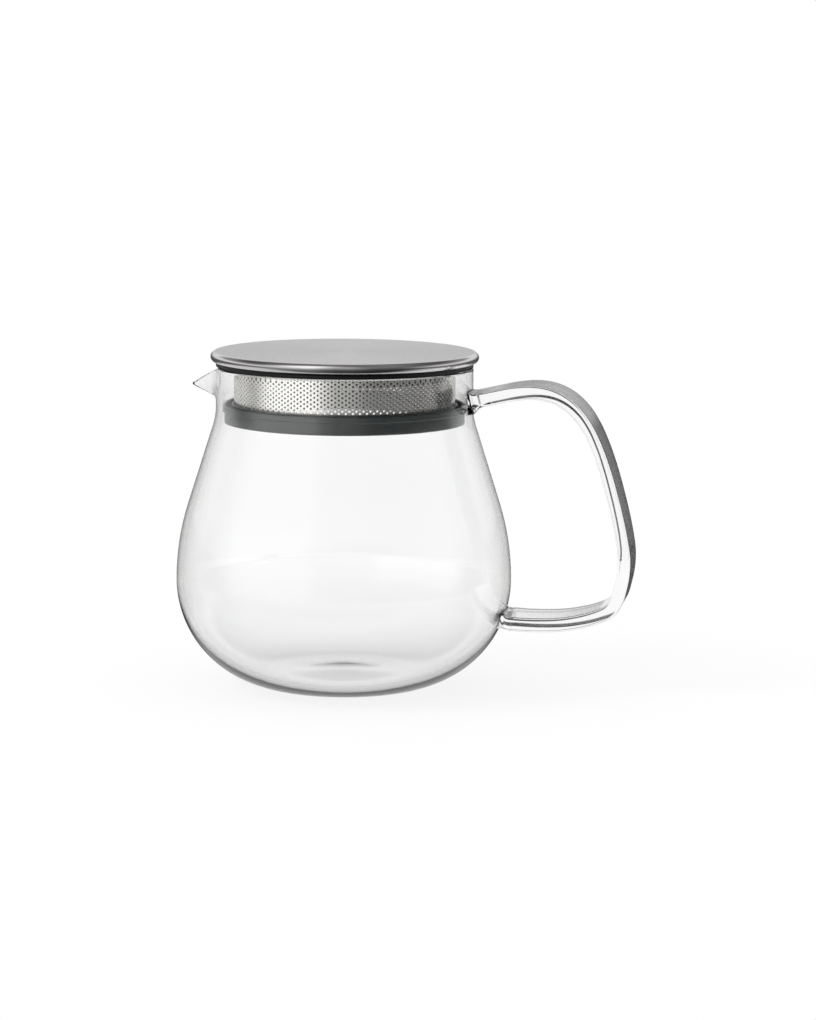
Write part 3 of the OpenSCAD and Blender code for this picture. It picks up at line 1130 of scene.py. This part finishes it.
@dataclass
class Studio:
    """White table, soft light and the camera. Clip, table and lamp are in metres.

    Levels are stops of a grey ramp: a place from 0 to 1 along a direction, and a brightness.
    """

    azimuth: float = 10.0
    elevation: float = 8.62
    distance: float = 1100.0
    middle: tuple[float, float, float] = (0.0, 0.0, 50.0)
    aside: float = 19.99
    above: float = 5.46
    lens: float = 123.84
    roll: float = 0.39
    clip: tuple[float, float] = (0.01, 100.0)
    floor_r: float = 0.26
    floor_drop: float = 0.1  # millimetres below the foot
    floor_rows: int = 8
    floor_columns: int = 96
    floor_grey: float = 0.95
    glow_rim: Levels = ((0.55, 0.85), (0.95, 1.0))
    glow_level: float = 1.03
    # The table's painted shade, for paths reflected inside the glass: its band across y, its
    # fall away from the camera and its fade towards the rim.
    dim_y: tuple[float, float] = (-0.15, -0.05)
    dim_near: Levels = ((0.0, 0.1), (1.0, 1.0))
    dim_rim: Levels = ((0.35, 1.0), (0.97, 0.0))
    lamp_place: tuple[float, float, float] = (-1.3, -0.9, 1.5)
    lamp_size: float = 1.0
    lamp_watts: float = 14.0
    soft: float = 0.75
    flags: Levels = (
        (0.0, 1.0), (0.03, 1.0), (0.05, 0.08), (0.3, 0.12), (0.55, 0.2), (1.0, 0.5))
    past_flags: Levels = ((0.3, 1.0), (0.38, 0.0), (0.505, 0.0), (0.53, 1.0))
    overhead: Levels = (
        (0.0, 0.7), (0.4, 0.7), (0.5, 0.4), (0.54, 0.52), (0.6, 0.8), (0.65, 0.8),
        (0.72, 0.3), (0.85, 0.08), (1.0, 0.25))
    in_front: Levels = (
        (0.0, 0.1), (0.4, 0.15), (0.48, 0.3), (0.56, 0.45), (0.72, 0.7), (0.86, 1.0),
        (0.95, 1.0), (1.0, 0.25))
    in_front_gain: float = 1.3
    around: Levels = (
        (0.0, 0.35), (0.04, 0.45), (0.09, 1.0), (0.22, 1.0), (0.3, 0.3), (0.64, 0.3),
        (0.72, 0.15), (0.92, 0.15), (1.0, 0.35))
    left_box: float = 3.0
    front_share: Levels = ((0.45, 0.0), (0.75, 1.0))
    through_share: Levels = ((0.3, 0.0), (0.42, 1.0))
    seen_through: Levels = ((0.0, 1.0), (0.6, 1.0), (0.68, 0.1), (0.75, 0.03), (1.0, 0.03))
    seen_in_front: Levels = (
        (0.0, 0.2), (0.35, 0.35), (0.43, 0.5), (0.5, 0.5), (0.6, 0.35), (0.75, 0.1),
        (1.0, 0.05))

    def camera(self) -> None:
        """Places the camera on its bearing, aims it beside the middle and rolls it."""
        data = bpy.data.cameras.new("camera")
        data.lens = self.lens
        data.clip_start, data.clip_end = self.clip
        camera = bpy.data.objects.new("camera", data)
        a, e = math.radians(self.azimuth), math.radians(self.elevation)
        back = Vector((math.sin(a) * math.cos(e), -math.cos(a) * math.cos(e), math.sin(e)))
        right = Vector((math.cos(a), math.sin(a), 0.0))
        middle = Vector(self.middle)
        place = (middle + back * self.distance) * MM
        aim = (middle + right * self.aside + back.cross(right) * self.above) * MM
        turn = (aim - place).to_track_quat("-Z", "Y").to_matrix()
        roll = Matrix.Rotation(math.radians(self.roll), 3, "Z")
        camera.matrix_world = Matrix.Translation(place) @ (turn @ roll).to_4x4()
        bpy.context.scene.collection.objects.link(camera)
        bpy.context.scene.camera = camera

    def world(self) -> None:
        """White behind the pot, and a studio for gloss and glass.

        Height is half the direction's z plus a half. The bearing is the angle from straight
        ahead: its size over pi is the turn, and half of it over pi plus a half is the side.
        Gloss sees dark flags beside and above the white, and a soft box in front. Glass sees
        the white, and the soft box only by paths that were reflected inside it.
        """
        world = bpy.data.worlds.new("studio")
        bpy.context.scene.world = world
        tree = Tree(world)
        paths = tree.add("LightPath")
        way = tree.add("TexCoord").outputs["Generated"]
        axes = tree.add("SeparateXYZ", Vector=way)
        height = tree.calc("MULTIPLY_ADD", axes.outputs["Z"], 0.5, 0.5)
        bearing = tree.calc("ADD", tree.calc("ARCTAN2", axes.outputs["X"], axes.outputs["Y"]),
                            math.radians(self.azimuth))
        turn = tree.calc("DIVIDE", tree.calc("ABSOLUTE", bearing), math.pi)
        side = tree.calc("MULTIPLY_ADD", bearing, 0.5 / math.pi, 0.5)
        around = tree.levels(side, self.around)

        def box(heights: Levels, gain: float) -> bpy.types.NodeSocket:
            """Soft boxes round the camera's side, by side, height and gain."""
            level = tree.calc("MULTIPLY", tree.levels(height, heights), gain)
            return tree.calc("MULTIPLY", around, level)

        behind = tree.blend(tree.levels(height, self.past_flags),
                            tree.levels(turn, self.flags), tree.levels(height, self.overhead))
        gloss = tree.blend(tree.levels(turn, self.front_share), behind,
                           box(self.in_front, self.in_front_gain))
        inside = tree.blend(tree.bounced(paths), WHITE, box(self.seen_in_front, self.left_box))
        through = tree.blend(tree.levels(turn, self.through_share),
                             tree.levels(height, self.seen_through), inside)
        white = (*WHITE, 1.0)
        shader = tree.add("Background", Color=white, Strength=self.soft)
        for ray, colour in (("Is Glossy Ray", gloss), ("Is Transmission Ray", through),
                            ("Is Camera Ray", white)):
            shader = tree.mix(paths.outputs[ray], shader, tree.add("Background", Color=colour))
        tree.finish(shader, "OutputWorld")

    def floor(self) -> None:
        """A round pale table that keeps the pot's shadow and fades into the white.

        Its colour and glow are darkened near the camera for paths that were reflected inside
        the glass: painted shade.
        """
        ring = np.linspace(0.0, self.floor_r / MM, self.floor_rows + 1)
        ring = np.stack([ring, np.full_like(ring, -self.floor_drop)], 1)
        table = patch_object("table", Patch(turned(ring, self.floor_columns)))
        material = bpy.data.materials.new("table")
        tree = Tree(material)
        paths = tree.add("LightPath")
        along = tree.add("SeparateXYZ", Vector=tree.add("TexCoord").outputs["Object"])
        scale = 1.0 / (self.dim_y[1] - self.dim_y[0])
        away = tree.levels(tree.calc("MULTIPLY_ADD", along.outputs["Y"], scale,
                                     -self.dim_y[0] * scale), self.dim_near)
        out = tree.calc("DIVIDE", tree.radius(), self.floor_r)
        glass = paths.outputs["Is Transmission Ray"]
        # painted shade: darkens the table's colour and glow near the camera, for paths
        # reflected inside the glass
        painted_shade = tree.calc("MULTIPLY", tree.calc("MULTIPLY", glass, tree.bounced(paths)),
                        tree.calc("MULTIPLY", tree.calc("SUBTRACT", 1.0, away),
                                  tree.levels(out, self.dim_rim)))
        seen = tree.calc("MAXIMUM", paths.outputs["Is Camera Ray"],
                         tree.calc("SUBTRACT", glass, painted_shade))
        pale = tree.calc("MULTIPLY_ADD", painted_shade, -self.floor_grey, self.floor_grey)
        matt = tree.add("BsdfDiffuse", Color=pale)
        glow = tree.add("Emission", Color=(*WHITE, 1.0), Strength=self.glow_level)
        share = tree.calc("MULTIPLY", seen, tree.levels(out, self.glow_rim))
        tree.finish(tree.mix(share, matt, glow))
        table.data.materials.append(material)
        table.visible_glossy = False

    def lamp(self) -> None:
        """A square soft lamp on the left that faces the pot, and that glass doesn't show."""
        data = bpy.data.lights.new("soft lamp left", "AREA")
        data.size, data.energy = self.lamp_size, self.lamp_watts
        lamp = bpy.data.objects.new(data.name, data)
        lamp.location = self.lamp_place
        to_pot = Vector(self.middle) * MM - Vector(self.lamp_place)
        lamp.rotation_mode = "QUATERNION"
        lamp.rotation_quaternion = to_pot.to_track_quat("-Z", "Y")
        lamp.visible_glossy = False
        lamp.visible_transmission = False
        bpy.context.scene.collection.objects.link(lamp)

    def build(self) -> None:
        """Sets the stage."""
        self.camera()
        self.world()
        self.floor()
        self.lamp()
        bpy.context.scene.view_settings.view_transform = "Standard"


def main() -> None:
    """Builds the studio and each part of the pot."""
    logging.basicConfig(level=logging.INFO, format="%(name)s %(message)s")
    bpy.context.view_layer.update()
    vessel = Vessel()
    for part in (Studio(), vessel, Handle(vessel), Lid(), Strainer(), Seal()):
        part.build()


if __name__ == "__main__":
    main()
